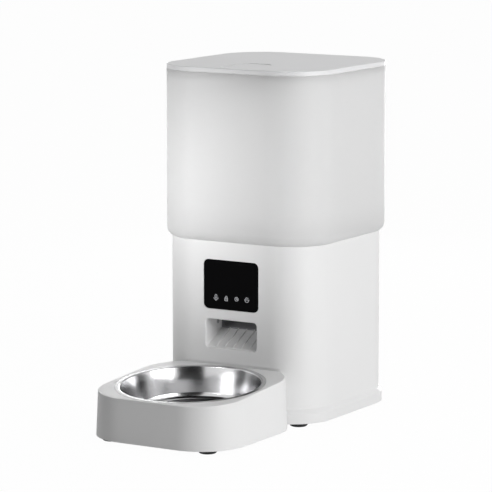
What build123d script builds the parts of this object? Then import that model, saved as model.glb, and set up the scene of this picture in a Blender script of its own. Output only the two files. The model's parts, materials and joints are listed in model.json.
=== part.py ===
from build123d import *

import os
from math import acos, atan, cos, degrees, pi, radians, sin, tan

# Automatic pet feeder: a frosted food tank on a base that holds a geared paddle wheel,
# with a feed outlet above a tray that carries a steel bowl.
# Millimetres, +Z up, front towards -Y, origin on the floor under the middle of the whole object.

# Heights above the floor
foot_height = 4.0
seam_height = 178.0
lid_seam_height = 344.0
top_height = 348.5

# Tank and base outlines: the tank's lower edge draws in to the base's outline
tank_width = 182.0
tank_depth = 186.0
tank_corner = 46.0
tank_wall = 2.4
tank_round = 10.0
tank_inset = 5.0
seam_edge = 0.6
base_width = tank_width - 2 * tank_inset
base_depth = tank_depth - 2 * tank_inset
base_corner = tank_corner - tank_inset
base_wall = 2.6
skirt_proud = 3.4
skirt_height = 10.0
skirt_flare = 4.0
skirt_wall = 2.4
collar_inset = 3.2
collar_thick = 2.0
collar_rise = 5.0

# Tray: a rounded square whose back is cut flat against the base
tray_width = 158.0
tray_depth = 160.0
tray_corner = 46.0
tray_reach = 240.0
tray_draft = 2.6
tray_wall = 2.5
tray_plate = 3.0
tray_front_height = 46.0
tray_slope = 3.7
tray_gap = 0.3
tray_groove = (110.0, 1.2)
tray_groove_level = 57.1
tray_groove_depth = 1.2
tray_edge = 1.0
tray_notch_height = 19.0
tray_front_bar = 136.0
tray_back_bar = 149.0
tray_bar_width = 3.0
tray_rise = 70.0
tongue_width = 43.0
tongue_height = 6.0
tongue_length = 14.0
tongue_level = 20.0
slot_play = 0.6

# Bowl
bowl_offset = 163.1
bowl_rim_radius = 72.8
bowl_wall_radius = 68.3
bowl_floor_radius = 62.8
bowl_depth = 32.0
bowl_sheet = 0.8
bowl_floor_round = 8.0
bowl_lip_round = 1.4
seat_gap = 0.4
seat_radius = bowl_rim_radius + seat_gap
seat_hole_radius = 69.9
seat_depth = 0.7

# Feet
foot_radius = 9.0
foot_round = 2.5
foot_pad = 1.0
base_foot_x = 67.0
base_foot_y = 71.0
tray_foot_x = 54.0
tray_foot_front = 219.0
tray_foot_back = 112.0

# Touch panel
lens_width = 62.0
lens_height = 48.8
lens_corner = 5.5
lens_level = 135.4
lens_thick = 1.5
lens_play = 0.25
window_width = 54.0
window_height = 41.0
window_corner = 2.0
lens_edge = 0.3
board_margin = 2.0
display_board_corner = 1.5
board_setback = 0.1
chip_size = 12.0
chip_height = 1.2
side_chip = (5.0, 4.0)
digits_size = (46.0, 17.0)
digits_thick = 1.1
digits_rise = 6.0
pad_radius = 3.4
pad_bore = 1.2
pad_thick = 1.0
microphone_x = -24.0
microphone_size = (3.0, 4.0)
board_thick = 1.6
touch_pitch = 11.9
touch_level = 122.6

# Feed outlet and the chute behind it
outlet_width = 57.4
outlet_height = 28.2
outlet_level = 86.4
outlet_corner = 3.5
outlet_wall = 2.0
outlet_edge = 1.4
outlet_step = 0.6
outlet_floor = outlet_level - outlet_height / 2
outlet_top = outlet_level + outlet_height / 2
ramp_slope = 27.0
ramp_depth = 30.0
chute_lip = 1.2
chute_round = 5.0
rib_pitch = 9.35
rib_width = 1.0
rib_height = 1.0
rib_lead = 4.0
sensor_inset = (7.0, 6.0)
sensor_radius = 2.5
sensor_gap = 0.1
sensor_length = 6.0
sensor_collar = (3.2, 1.5)
chute_half_width = 27.0
chute_back = 24.5
chute_front = 48.0
chute_gap = 0.2

# Dispenser cup and paddle wheel
deck_bottom = 170.0
deck_top = 173.0
cup_floor_bottom = 110.0
cup_floor_top = 113.0
cup_radius = 47.0
cup_wall = 2.2
cup_play = 0.8
cup_flange_radius = 66.0
cup_flange_top = 175.5
cup_screw_offset = 43.0
drop_inner = 24.0
drop_outer = 46.0
drop_half_angle = 30.0
ledge_radius = 44.0
ledge_bottom = 138.8
ledge_top = 141.0
baffle_top = 143.0
baffle_half_angle = 40.0
ledge_half_angle = 42.0
wheel_bottom = 114.8
wheel_top = 138.0
hub_top = 150.0
hub_radius = 9.0
vane_count = 6
vane_reach = 45.4
vane_thick = 2.4
agitator_top = 164.0
shaft_top = 168.0
shaft_radius = 4.0
shaft_flat = 3.2
nut_radius = 8.0
nut_height = 9.0
nut_groove = 1.4
nut_edge = 0.5
bush_radius = 6.0
seal_radius = 8.0
seal_thick = 1.2
baffle_gap = 0.4
baffle_lip = 2.0
baffle_lip_height = 8.0
arm_length = 60.0
arm_width = 5.0
arm_height = 6.0
prong_width = 4.0
prong_reach = 28.0
prong_height = 18.0
prong_taper = 4.0
running_gap = 0.05

# Gear train: four axes in a row behind the paddle wheel's axis
gear_module = 0.8
pressure_angle = 25.0
gear_backlash = 0.2
wheel_teeth = 42
pinion_teeth = 12
axis_step = gear_module * (wheel_teeth + pinion_teeth) / 2
second_idler_y = axis_step
first_idler_y = 2 * axis_step
motor_y = 3 * axis_step
gearbox_bottom = 86.0
gearbox_floor = 88.0
gearbox_rim = 107.0
gearbox_inner_radius = 18.2
gearbox_wall = 2.0
gearbox_length = 54.0
gearbox_ear_radius = 4.0
gearbox_ears = [(-22.5, -4.0), (22.5, -4.0), (-22.5, 38.0), (22.5, 38.0)]
journal_radius = 2.5
pin_radius = 1.45
bore_gap = 0.05
output_gear_bottom = 99.5
output_gear_top = 104.5
second_wheel_bottom = 94.0
second_pinion_bottom = 98.0
second_pinion_height = 7.5
first_wheel_bottom = 89.0
first_pinion_bottom = 93.0
first_pinion_height = 6.0
idler_wheel_height = 4.0
idler_hub_radius = 3.0
idler_lift = 0.2
shaft_step = 1.0
shaft_lift = 0.4

# Motor
motor_radius = 12.2
motor_wall = 1.0
motor_bottom = 54.0
motor_shaft_radius = 1.0
collar_bottom = 74.0
collar_wall = 2.0
boss_radius = 3.0
magnet_bottom = 58.0
magnet_height = 24.0
magnet_inner = 9.4
magnet_half_angle = 60.0
end_cap_thick = 3.0
terminal_size = (0.8, 2.8)
terminal_play = 0.2
motor_shaft_bottom = 52.0
motor_shaft_top = 93.0
armature_bottom = 60.0
armature_height = 20.0
armature_radius = 9.0
armature_slot = (6.0, 1.6)
commutator_bottom = 55.0
commutator_radius = 3.0

# Battery bay for three D cells
bay_y = -14.0
bay_width = 106.0
bay_depth = 66.0
bay_wall = 2.0
bay_top = 45.0
bay_corner = 3.0
bay_flange = 2.0
notch_radius = 9.0
notch_depth = 1.4
door_grip = (16.0, 1.2)
door_grip_pitch = 3.0
door_grip_depth = 0.8
cell_rib = (1.5, 6.0)
contact_low = 12.0
contact_high = 36.0
contact_reach = 3.2
contact_thick = 0.5
contact_width = 12.0
cover_thick = 3.0
cover_play = 0.2
cover_top = foot_height + cover_thick
door_play = 0.4
door_thick = 2.4
cell_pitch = 34.6

# Main board on the left wall, and the leads that plug into it
board_y = 5.0
board_level = 92.0
board_size = (70.0, 60.0)
board_corner = 2.0
board_hole_y = 62.0
board_hole_z = 52.0
board_post_radius = 3.0
board_post_length = 9.4
plug_level = 69.0
plug_pitch = 14.0
plug_row_y = 10.0
plug_size = (9.0, 6.0)
speaker_plug_level = 102.0
capacitor_radius = 4.0
capacitor_height = 9.0
capacitor_pitch = 12.0
tall_plug = 6.0
low_plug = 1.4
speaker_plug_y = 20.0
ribbon_level = 117.0
ribbon_width = 8.0
ribbon_plug_y = -16.0
ribbon_plug = 3.0
terminal_x = 5.0
terminal_length = 8.0
lead_radius = 0.9
cable_radius = 1.4
lead_gap = 2.6
lead_bend = 2.4

# Speaker and power inlet in the back wall
grille_hole = 1.3
grille_step = 5.0
speaker_radius = 18.0
speaker_gap = 0.2
speaker_wall = 1.6
speaker_rim = 2.0
speaker_magnet_radius = 11.0
speaker_magnet_height = 5.0
holder_play = 0.6
speaker_holder_length = 6.0
socket_x = 30.0
socket_level = 24.0
socket_width = 9.2
socket_height = 3.5
socket_wall = 0.4
socket_play = 0.3
socket_length = 8.0
socket_setback = 1.6
socket_mouth = 6.5
socket_tongue = (6.4, 0.7)
socket_foot = (7.0, 4.0)
socket_foot_height = 1.5
power_board_level = 20.0
power_board_size = (20.0, 17.0)

# Screws and the posts that take them
screw_radius = 1.25
screw_hole = 1.35
screw_head_radius = 2.8
screw_head_height = 1.6
post_radius = 4.0
post_x = 79.9
post_y = 35.0
cup_post_length = 9.0
cup_hole_depth = 11.0
bottom_post_length = 30.0
bottom_hole_depth = 14.0
screw_play = 0.3
screw_sink = 0.2
screw_edge = 0.6
cross_length = 3.4
cross_width = 0.8
cross_depth = 0.9
bottom_screw_length = 10.0
cup_screw_length = 12.0
board_screw_length = 7.0

# Tank funnel
funnel_top = 200.0
funnel_sheet = 1.2
funnel_neck = 176.0
neck_bottom = 162.0
neck_width = 90.0
neck_corner = 42.0
neck_wall = 2.0

# Lid
lid_plate = 2.6
lid_edge = 1.2
lip_gap = 0.8
lip_wall = 2.0
lip_depth = 7.5
seal_height = 3.0
seal_depth = 1.2
seal_drop = 3.0
seal_play = 0.2
seal_gap = 0.3
seal_fit = 0.05
scoop_width = 36.0
scoop_length = 56.0
scoop_depth = 0.5
scoop_front = 6.0
scoop_corner = 14.0
holder_radius = 32.0
holder_wall = 2.0
holder_depth = 20.0
holder_x = 16.0
holder_y = -52.0
cap_gap = 0.3
cap_wall = 2.0
cap_skirt = 9.0
lug_size = (2.4, 5.0)
lug_height = 2.0
vent_size = (30.0, 2.4)
vent_pitch = 7.0
vent_count = 6
bayonet_half_angle = 26.0
bayonet_turn = 20.0
bayonet_play = 0.4

# Where the tower and the tray stand: the whole depth is centred on the origin
tower_y = (tray_reach - tank_depth / 2) / 2
tray_y = tower_y - tray_reach + tray_depth / 2
front_y = tower_y - base_depth / 2
back_y = tower_y + base_depth / 2

front_plane = Plane(origin=(0, front_y, 0), x_dir=(1, 0, 0), z_dir=(0, -1, 0))
back_plane = Plane(origin=(0, back_y, 0), x_dir=(-1, 0, 0), z_dir=(0, 1, 0))
tilt_up = Vector(0, -sin(radians(tray_slope)), cos(radians(tray_slope)))
tilt_front = Vector(0, -cos(radians(tray_slope)), -sin(radians(tray_slope)))


def level(height):
    """Horizontal plane on the tower's axis."""
    return Plane(origin=(0, tower_y, height))


def holder_level(height):
    """Horizontal plane on the axis of the lid's holder."""
    return Plane(origin=on_tower(holder_x, holder_y, height))


def on_tower(x, y, height):
    """Point measured from the tower's axis."""
    return (x, tower_y + y, height)


def tray_height(y):
    """Height of the tray's sloping top at a distance behind its front."""
    return tray_front_height + (y - (tower_y - tray_reach)) * tan(radians(tray_slope))


def sector_face(inner, outer, half_angle):
    """Ring sector that faces the front, about the tower's axis."""
    start = -90 - half_angle
    with BuildSketch() as sector:
        with BuildLine():
            outer_arc = CenterArc((0, 0), outer, start, 2 * half_angle)
            inner_arc = CenterArc((0, 0), inner, start, 2 * half_angle)
            Line(outer_arc @ 0, inner_arc @ 0)
            Line(outer_arc @ 1, inner_arc @ 1)
        make_face()
    return sector.sketch


def gear_face(teeth, first_tooth):
    """Spur gear outline with one tooth centred on the angle first_tooth, in degrees."""
    pitch_radius = gear_module * teeth / 2
    angle = radians(pressure_angle)
    base_radius = pitch_radius * cos(angle)
    tip_radius = pitch_radius + gear_module
    root_radius = pitch_radius - 1.25 * gear_module
    flank_start = max(root_radius, base_radius)
    half_tooth = (pi * gear_module / 2 - gear_backlash) / 2 / pitch_radius

    def flank_point(radius, middle, side):
        roll = acos(base_radius / max(radius, base_radius))
        turn = half_tooth + tan(angle) - angle - (tan(roll) - roll)
        return (radius * cos(middle + side * turn), radius * sin(middle + side * turn))

    with BuildSketch() as face:
        with BuildLine():
            for index in range(teeth):
                middle = radians(first_tooth) + 2 * pi * index / teeth
                for side in (-1, 1):
                    foot = flank_point(root_radius, middle, side)
                    start = flank_point(flank_start, middle, side)
                    if root_radius < base_radius:
                        Line(foot, start)
                    ThreePointArc(
                        start,
                        flank_point(pitch_radius, middle, side),
                        flank_point(tip_radius, middle, side),
                    )
                Line(flank_point(tip_radius, middle, -1), flank_point(tip_radius, middle, 1))
                following = middle + 2 * pi / teeth
                Line(flank_point(root_radius, middle, 1), flank_point(root_radius, following, -1))
        make_face()
    return face.sketch


def pan_screw(length):
    """Cross-head screw that points down from the origin, its head above."""
    with BuildPart() as screw:
        with BuildSketch():
            Circle(screw_head_radius)
        extrude(amount=screw_head_height)
        fillet(screw.edges().group_by(Axis.Z)[-1], screw_edge)
        with BuildSketch(Plane.XY.offset(screw_head_height)):
            Rectangle(cross_length, cross_width)
            Rectangle(cross_width, cross_length)
        extrude(amount=-cross_depth, mode=Mode.SUBTRACT)
        with BuildSketch():
            Circle(screw_radius)
        extrude(amount=-length)
    return screw.part


def rubber_foot():
    """Round foot that stands on the floor at the origin."""
    with BuildPart() as foot:
        with BuildSketch():
            Circle(foot_radius)
        extrude(amount=foot_height)
        fillet(foot.edges().group_by(Axis.Z)[0], foot_round)
    return foot.part


def lead(points, bend, radius):
    """Insulated lead along straight runs and arcs."""
    with BuildPart() as wire:
        with BuildLine() as route:
            FilletPolyline(*points, radius=bend)
        with BuildSketch(Plane(origin=route.line @ 0, z_dir=route.line % 0)):
            Circle(radius)
        sweep(path=route.line)
    return wire.part


os.makedirs("parts", exist_ok=True)

# Base housing: wall, proud skirt, deck, locating collar, posts and all openings
with BuildPart() as base_housing:
    with BuildSketch(level(foot_height)):
        RectangleRounded(base_width, base_depth, base_corner)
    extrude(amount=seam_height - foot_height)
    fillet(base_housing.edges().group_by(Axis.Z)[-1], seam_edge)
    with BuildSketch(level(foot_height)):
        RectangleRounded(
            base_width + 2 * skirt_proud, base_depth + 2 * skirt_proud, base_corner + skirt_proud
        )
    extrude(amount=skirt_height)
    with BuildSketch(level(foot_height + skirt_height)):
        RectangleRounded(
            base_width + 2 * skirt_proud, base_depth + 2 * skirt_proud, base_corner + skirt_proud
        )
    extrude(amount=skirt_flare, taper=degrees(atan(skirt_proud / skirt_flare)))
    with BuildSketch(level(foot_height)):
        RectangleRounded(
            base_width - 2 * base_wall, base_depth - 2 * base_wall, base_corner - base_wall
        )
    extrude(amount=deck_bottom - foot_height, mode=Mode.SUBTRACT)
    with BuildSketch(level(deck_top)):
        RectangleRounded(
            base_width - 2 * base_wall, base_depth - 2 * base_wall, base_corner - base_wall
        )
    extrude(amount=seam_height - deck_top, mode=Mode.SUBTRACT)
    with BuildSketch(level(foot_height)):
        RectangleRounded(
            base_width + 2 * (skirt_proud - skirt_wall),
            base_depth + 2 * (skirt_proud - skirt_wall),
            base_corner + skirt_proud - skirt_wall,
        )
    extrude(amount=cover_thick, mode=Mode.SUBTRACT)
    with BuildSketch(level(deck_top)):
        RectangleRounded(
            base_width - 2 * collar_inset, base_depth - 2 * collar_inset, base_corner - collar_inset
        )
        RectangleRounded(
            base_width - 2 * (collar_inset + collar_thick),
            base_depth - 2 * (collar_inset + collar_thick),
            base_corner - collar_inset - collar_thick,
            mode=Mode.SUBTRACT,
        )
    extrude(amount=seam_height - deck_top + collar_rise)
    with BuildSketch(level(deck_bottom)):
        Circle(cup_radius + cup_wall + cup_play)
    extrude(amount=deck_top - deck_bottom, mode=Mode.SUBTRACT)
    with BuildSketch(level(deck_bottom)):
        with GridLocations(2 * cup_screw_offset, 2 * cup_screw_offset, 2, 2):
            Circle(post_radius)
    extrude(amount=-cup_post_length)
    with BuildSketch(level(deck_top)):
        with GridLocations(2 * cup_screw_offset, 2 * cup_screw_offset, 2, 2):
            Circle(screw_hole)
    extrude(amount=-cup_hole_depth, mode=Mode.SUBTRACT)
    with BuildSketch(level(cover_top)):
        with GridLocations(2 * post_x, 2 * post_y, 2, 2):
            Circle(post_radius)
    extrude(amount=bottom_post_length)
    with BuildSketch(level(cover_top)):
        with GridLocations(2 * post_x, 2 * post_y, 2, 2):
            Circle(screw_hole)
    extrude(amount=bottom_hole_depth, mode=Mode.SUBTRACT)
    with BuildSketch(front_plane):
        with Locations((0, lens_level)):
            RectangleRounded(lens_width + 2 * lens_play, lens_height + 2 * lens_play, lens_corner)
    extrude(amount=-lens_thick, mode=Mode.SUBTRACT)
    with BuildSketch(front_plane):
        with Locations((0, tray_groove_level)):
            Rectangle(*tray_groove)
    extrude(amount=-tray_groove_depth, mode=Mode.SUBTRACT)
    with BuildSketch(front_plane):
        with Locations((0, lens_level)):
            RectangleRounded(window_width, window_height, window_corner)
        with Locations((0, outlet_level)):
            RectangleRounded(outlet_width, outlet_height, outlet_corner)
        with Locations((0, tongue_level + tongue_height / 2)):
            Rectangle(tongue_width + 2 * slot_play, tongue_height + 2 * slot_play)
    extrude(amount=-2 * base_wall, mode=Mode.SUBTRACT)
    outlet_rim = base_housing.edges().filter_by(
        lambda edge: abs(edge.center().Y - front_y) < 0.01
        and abs(edge.center().Z - outlet_level) < outlet_height / 2 + 0.1
        and abs(edge.center().X) < outlet_width / 2 + 0.1
    )
    fillet(outlet_rim, outlet_edge)
    with BuildSketch(back_plane):
        with Locations((0, lens_level)):
            Circle(grille_hole)
            with PolarLocations(grille_step, 6):
                Circle(grille_hole)
            with PolarLocations(2 * grille_step, 12):
                Circle(grille_hole)
        with Locations((-socket_x, socket_level)):
            SlotOverall(socket_width + 2 * socket_play, socket_height + 2 * socket_play)
    extrude(amount=-2 * base_wall, mode=Mode.SUBTRACT)
    with BuildSketch(back_plane.offset(-base_wall)):
        with Locations((0, lens_level)):
            Circle(speaker_radius + holder_play + speaker_wall)
            Circle(speaker_radius + holder_play, mode=Mode.SUBTRACT)
    extrude(amount=-speaker_holder_length)
    with BuildSketch(Plane.YZ.offset(-base_width / 2 + base_wall / 2)):
        with Locations((tower_y + board_y, board_level)):
            with GridLocations(board_hole_y, board_hole_z, 2, 2):
                Circle(board_post_radius)
    extrude(amount=base_wall / 2 + board_post_length)
    with BuildSketch(Plane.YZ.offset(-base_width / 2 + base_wall + board_post_length)):
        with Locations((tower_y + board_y, board_level)):
            with GridLocations(board_hole_y, board_hole_z, 2, 2):
                Circle(screw_hole)
    extrude(amount=-board_post_length, mode=Mode.SUBTRACT)
base_housing.part.label = "base_housing"
export_step(base_housing.part, "parts/base_housing.step")

# Bottom cover with the battery opening and sunk screw holes
with BuildPart() as bottom_cover:
    with BuildSketch(level(foot_height)):
        RectangleRounded(
            base_width + 2 * (skirt_proud - skirt_wall - cover_play),
            base_depth + 2 * (skirt_proud - skirt_wall - cover_play),
            base_corner + skirt_proud - skirt_wall - cover_play,
        )
    extrude(amount=cover_thick)
    with BuildSketch(level(foot_height)):
        with Locations((0, bay_y)):
            RectangleRounded(bay_width + 2 * bay_wall, bay_depth + 2 * bay_wall, bay_corner)
    extrude(amount=cover_thick, mode=Mode.SUBTRACT)
    with BuildSketch(level(foot_height)):
        with Locations((0, bay_y + bay_depth / 2 + bay_wall)):
            Circle(notch_radius)
    extrude(amount=notch_depth, mode=Mode.SUBTRACT)
    with BuildSketch(level(foot_height)):
        with GridLocations(2 * post_x, 2 * post_y, 2, 2):
            Circle(screw_hole + screw_play)
    extrude(amount=cover_thick, mode=Mode.SUBTRACT)
    with BuildSketch(level(foot_height)):
        with GridLocations(2 * post_x, 2 * post_y, 2, 2):
            Circle(screw_head_radius + screw_play)
    extrude(amount=screw_head_height + screw_sink, mode=Mode.SUBTRACT)
bottom_cover.part.label = "bottom_cover"
export_step(bottom_cover.part, "parts/bottom_cover.step")

with BuildPart() as bottom_screws:
    with Locations(on_tower(0, 0, foot_height + screw_head_height + screw_sink)):
        with GridLocations(2 * post_x, 2 * post_y, 2, 2):
            add(pan_screw(bottom_screw_length), rotation=(180, 0, 0))
bottom_screws.part.label = "bottom_screws"
export_step(bottom_screws.part, "parts/bottom_screws.step")

with BuildPart() as base_feet:
    with Locations(on_tower(0, 0, 0)):
        with GridLocations(2 * base_foot_x, 2 * base_foot_y, 2, 2):
            add(rubber_foot())
base_feet.part.label = "base_feet"
export_step(base_feet.part, "parts/base_feet.step")

# Touch panel: gloss lens, board, digit module, touch pads and microphone
with BuildPart() as display_lens:
    with BuildSketch(front_plane):
        with Locations((0, lens_level)):
            RectangleRounded(lens_width, lens_height, lens_corner)
    extrude(amount=-lens_thick)
    fillet(display_lens.faces().sort_by(Axis.Y)[0].edges(), lens_edge)
display_lens.part.label = "display_lens"
export_step(display_lens.part, "parts/display_lens.step")

board_plane = front_plane.offset(-base_wall - board_setback)
with BuildPart() as display_board:
    with BuildSketch(board_plane):
        with Locations((0, lens_level)):
            RectangleRounded(
                window_width + 2 * board_margin, window_height + 2 * board_margin, display_board_corner
            )
    extrude(amount=-board_thick)
    with BuildSketch(board_plane.offset(-board_thick)):
        with Locations((0, lens_level + digits_rise)):
            Rectangle(chip_size, chip_size)
        with Locations((-1.5 * chip_size, lens_level), (1.5 * chip_size, lens_level)):
            Rectangle(*side_chip)
    extrude(amount=-chip_height)
display_board.part.label = "display_board"
export_step(display_board.part, "parts/display_board.step")

with BuildPart() as display_digits:
    with BuildSketch(board_plane):
        with Locations((0, lens_level + digits_rise)):
            RectangleRounded(*digits_size, digits_thick)
    extrude(amount=digits_thick)
display_digits.part.label = "display_digits"
export_step(display_digits.part, "parts/display_digits.step")

with BuildPart() as touch_pads:
    with BuildSketch(board_plane):
        with Locations((0, touch_level)):
            with GridLocations(touch_pitch, 1, 4, 1):
                Circle(pad_radius)
                Circle(pad_bore, mode=Mode.SUBTRACT)
    extrude(amount=pad_thick)
touch_pads.part.label = "touch_pads"
export_step(touch_pads.part, "parts/touch_pads.step")

with BuildPart() as microphone:
    with BuildSketch(board_plane):
        with Locations((microphone_x, touch_level)):
            RectangleRounded(*microphone_size, microphone_size[0] / 6)
    extrude(amount=pad_thick)
microphone.part.label = "microphone"
export_step(microphone.part, "parts/microphone.step")

# Outlet liner: ribbed ramp between side walls, open to the chute behind it
ramp_front = tower_y - base_depth / 2 + base_wall
ramp_back = front_y + ramp_depth
ramp_rise = (ramp_depth - base_wall) * tan(radians(ramp_slope))
ramp_top = outlet_floor + outlet_step + ramp_rise
rib_lead_rise = rib_lead * tan(radians(ramp_slope))
sensor_spot = (ramp_back - sensor_inset[0], outlet_top - sensor_inset[1])
with BuildPart() as outlet_ramp:
    with BuildSketch(Plane.YZ):
        with BuildLine():
            Polyline(
                (ramp_front, outlet_floor - outlet_wall),
                (ramp_front, outlet_top + outlet_wall),
                (ramp_back, outlet_top + outlet_wall),
                (ramp_back, ramp_top - outlet_wall),
                close=True,
            )
        make_face()
    extrude(amount=outlet_width / 2 + outlet_wall, both=True)
    with BuildSketch(Plane.YZ):
        with BuildLine():
            Polyline(
                (ramp_front, outlet_floor + outlet_step),
                (ramp_front, outlet_top),
                (ramp_back, outlet_top),
                (ramp_back, ramp_top),
                close=True,
            )
        make_face()
    extrude(amount=outlet_width / 2, both=True, mode=Mode.SUBTRACT)
    for rib_index in range(-2, 3):
        with BuildSketch(Plane.YZ.offset(rib_index * rib_pitch)):
            with BuildLine():
                Polyline(
                    (ramp_front, outlet_floor),
                    (ramp_front, outlet_floor + 1.5 * outlet_step),
                    (ramp_front + rib_lead, outlet_floor + outlet_step + rib_lead_rise + rib_height),
                    (ramp_back, ramp_top + rib_height),
                    (ramp_back, ramp_top - rib_height),
                    close=True,
                )
            make_face()
        extrude(amount=rib_width / 2, both=True)
    with BuildSketch(Plane.YZ):
        with Locations(sensor_spot):
            Circle(sensor_radius + sensor_gap)
    extrude(amount=outlet_width / 2 + 2 * outlet_wall, both=True, mode=Mode.SUBTRACT)
outlet_ramp.part.label = "outlet_ramp"
export_step(outlet_ramp.part, "parts/outlet_ramp.step")

with BuildPart() as blockage_sensors:
    for side in (-1, 1):
        with BuildSketch(Plane.YZ.offset(side * (outlet_width / 2 + 2 * sensor_gap))):
            with Locations(sensor_spot):
                Circle(sensor_radius)
        extrude(amount=side * sensor_length)
        with BuildSketch(Plane.YZ.offset(side * (outlet_width / 2 + outlet_wall + sensor_gap))):
            with Locations(sensor_spot):
                Circle(sensor_collar[0])
        extrude(amount=side * sensor_collar[1])
blockage_sensors.part.label = "blockage_sensors"
export_step(blockage_sensors.part, "parts/blockage_sensors.step")

# Drop chute from the cup's floor down to the ramp
chute_floor = ramp_top + chute_lip
chute_rise = (tower_y - chute_back - ramp_back) * tan(radians(ramp_slope))
with BuildPart() as drop_chute:
    with BuildSketch(Plane.YZ):
        with BuildLine():
            Polyline(
                (ramp_back + chute_gap, chute_floor - outlet_wall),
                (ramp_back + chute_gap, outlet_top + outlet_wall),
                (tower_y - chute_front - outlet_wall, cup_floor_bottom),
                (tower_y - chute_back + outlet_wall, cup_floor_bottom),
                (tower_y - chute_back + outlet_wall, chute_floor - outlet_wall + chute_rise),
                close=True,
            )
        make_face()
    extrude(amount=chute_half_width + outlet_wall, both=True)
    with BuildSketch(Plane.YZ):
        with BuildLine():
            Polyline(
                (ramp_back + chute_gap, chute_floor),
                (ramp_back + chute_gap, outlet_top),
                (tower_y - chute_front, cup_floor_bottom),
                (tower_y - chute_back, cup_floor_bottom),
                (tower_y - chute_back, chute_floor + chute_rise),
                close=True,
            )
        make_face()
    extrude(amount=chute_half_width, both=True, mode=Mode.SUBTRACT)
    chute_corners = drop_chute.edges().filter_by(
        lambda edge: abs(abs(edge.center().X) - chute_half_width) < 0.1
        and abs(edge.center().Z - chute_floor - chute_rise / 2) < 0.1
        and edge.length > chute_rise
    )
    fillet(chute_corners, chute_round)
drop_chute.part.label = "drop_chute"
export_step(drop_chute.part, "parts/drop_chute.step")

# Dispenser cup: the paddle wheel turns in it, over a drop opening at the front
with BuildPart() as dispenser_cup:
    with BuildSketch(level(cup_floor_bottom)):
        Circle(cup_radius + cup_wall)
    extrude(amount=deck_top - cup_floor_bottom)
    with BuildSketch(level(deck_top)):
        Circle(cup_flange_radius)
    extrude(amount=cup_flange_top - deck_top)
    with BuildSketch(level(cup_floor_top)):
        Circle(cup_radius)
    extrude(amount=cup_flange_top - cup_floor_top, mode=Mode.SUBTRACT)
    with BuildSketch(level(ledge_bottom)):
        add(sector_face(ledge_radius, cup_radius + cup_wall / 2, ledge_half_angle))
    extrude(amount=ledge_top - ledge_bottom)
    with BuildSketch(level(cup_floor_bottom)):
        add(sector_face(drop_inner, drop_outer, drop_half_angle))
        Circle(bush_radius + bore_gap)
        with Locations(*gearbox_ears):
            Circle(screw_hole)
    extrude(amount=cup_floor_top - cup_floor_bottom, mode=Mode.SUBTRACT)
    with BuildSketch(level(deck_top)):
        with GridLocations(2 * cup_screw_offset, 2 * cup_screw_offset, 2, 2):
            Circle(screw_hole + screw_play)
    extrude(amount=cup_flange_top - deck_top, mode=Mode.SUBTRACT)
dispenser_cup.part.label = "dispenser_cup"
export_step(dispenser_cup.part, "parts/dispenser_cup.step")

with BuildPart() as cup_screws:
    with Locations(on_tower(0, 0, cup_flange_top)):
        with GridLocations(2 * cup_screw_offset, 2 * cup_screw_offset, 2, 2):
            add(pan_screw(cup_screw_length))
cup_screws.part.label = "cup_screws"
export_step(cup_screws.part, "parts/cup_screws.step")

with BuildPart() as portion_baffle:
    with BuildSketch(level(ledge_top)):
        add(sector_face(hub_radius + baffle_lip, cup_radius - baffle_gap, baffle_half_angle))
    extrude(amount=baffle_top - ledge_top)
    with BuildSketch(level(baffle_top)):
        add(sector_face(cup_radius - baffle_gap - baffle_lip, cup_radius - baffle_gap, baffle_half_angle))
    extrude(amount=baffle_lip_height)
portion_baffle.part.label = "portion_baffle"
export_step(portion_baffle.part, "parts/portion_baffle.step")

# Paddle wheel, agitator, retaining nut and drive shaft: one turning assembly
with BuildPart() as rotor_wheel:
    with BuildSketch(level(wheel_bottom)):
        Circle(hub_radius)
    extrude(amount=hub_top - wheel_bottom)
    with BuildSketch(level(wheel_bottom)):
        with PolarLocations((vane_reach + hub_radius - 1) / 2, vane_count, start_angle=30):
            Rectangle(vane_reach - hub_radius + 1, vane_thick)
    extrude(amount=wheel_top - wheel_bottom)
    with BuildSketch(level(wheel_bottom)):
        Circle(shaft_radius + running_gap)
        with Locations((shaft_radius + shaft_flat + running_gap, 0)):
            Rectangle(2 * shaft_radius, 4 * shaft_radius, mode=Mode.SUBTRACT)
    extrude(amount=hub_top - wheel_bottom, mode=Mode.SUBTRACT)
rotor_wheel.part.label = "rotor_wheel"
export_step(rotor_wheel.part, "parts/rotor_wheel.step")

with BuildPart() as agitator:
    with BuildSketch(level(hub_top)):
        Circle(hub_radius)
        Rectangle(arm_length, arm_width)
    extrude(amount=arm_height)
    with BuildSketch(level(hub_top + arm_height)):
        Circle(hub_radius - 1.0)
        with Locations((-prong_reach, 0), (prong_reach, 0)):
            Rectangle(prong_width, arm_width)
    extrude(amount=agitator_top - hub_top - arm_height)
    with BuildSketch(level(agitator_top)):
        with Locations((-prong_reach, 0), (prong_reach, 0)):
            Rectangle(prong_width, arm_width)
    extrude(amount=prong_height, taper=prong_taper)
    with BuildSketch(level(hub_top)):
        Circle(shaft_radius + running_gap)
        with Locations((shaft_radius + shaft_flat + running_gap, 0)):
            Rectangle(2 * shaft_radius, 4 * shaft_radius, mode=Mode.SUBTRACT)
    extrude(amount=agitator_top - hub_top, mode=Mode.SUBTRACT)
agitator.part.label = "agitator"
export_step(agitator.part, "parts/agitator.step")

with BuildPart() as rotor_nut:
    with BuildSketch(level(agitator_top)):
        Circle(nut_radius)
        with PolarLocations(nut_radius, 8):
            Circle(nut_groove, mode=Mode.SUBTRACT)
    extrude(amount=nut_height)
    fillet(rotor_nut.edges().group_by(Axis.Z)[-1], nut_edge)
    with BuildSketch(level(agitator_top)):
        Circle(shaft_radius + running_gap)
    extrude(amount=shaft_top - agitator_top + shaft_lift, mode=Mode.SUBTRACT)
rotor_nut.part.label = "rotor_nut"
export_step(rotor_nut.part, "parts/rotor_nut.step")

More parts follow.
